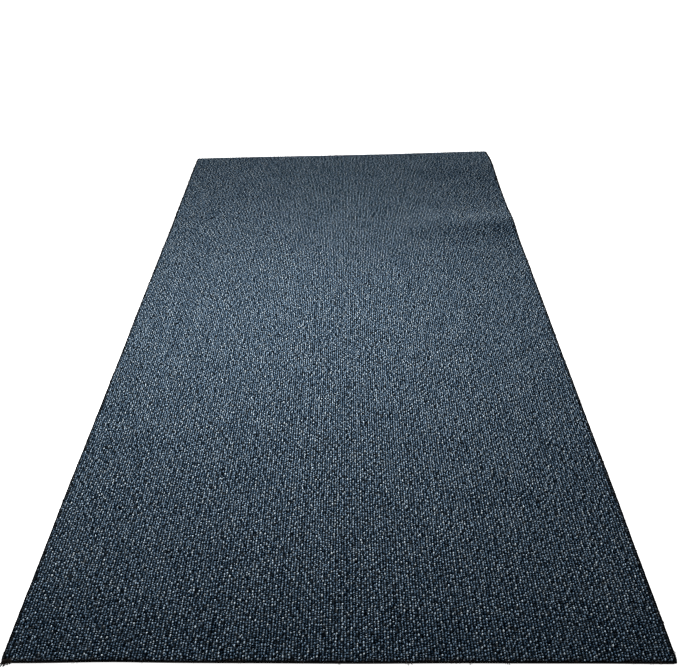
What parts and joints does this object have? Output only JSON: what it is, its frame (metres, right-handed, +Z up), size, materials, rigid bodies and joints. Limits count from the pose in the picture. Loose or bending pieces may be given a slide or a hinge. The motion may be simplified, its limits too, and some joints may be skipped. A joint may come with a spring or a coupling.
{
  "type": "chair mat",
  "caption": "Rectangular textile chair mat: low ribbed loop pile on woven cloth and latex, over a thin rubber anti-slip back, for castors to roll on.",
  "frame": {"origin": "middle of the underside, on the floor", "axes": "+X across the rows of loops, +Y along the rows and the mat's length, +Z up from the floor to the pile"},
  "size_m": [0.9, 1.8, 0.005],
  "materials": {
    "rubber_back": "dull moulded rubber, fine grip grain",
    "latex": "dull dried latex",
    "woven_cloth": "plain woven slit-film cloth",
    "pile_yarn": "heathered textured yarn, looped, matt with a faint sheen"
  },
  "bodies": {
    "root": {"anti_slip_back": "rubber_back", "latex_coat": "latex", "primary_cloth": "woven_cloth", "loop_pile": "pile_yarn"}
  },
  "joints": []
}
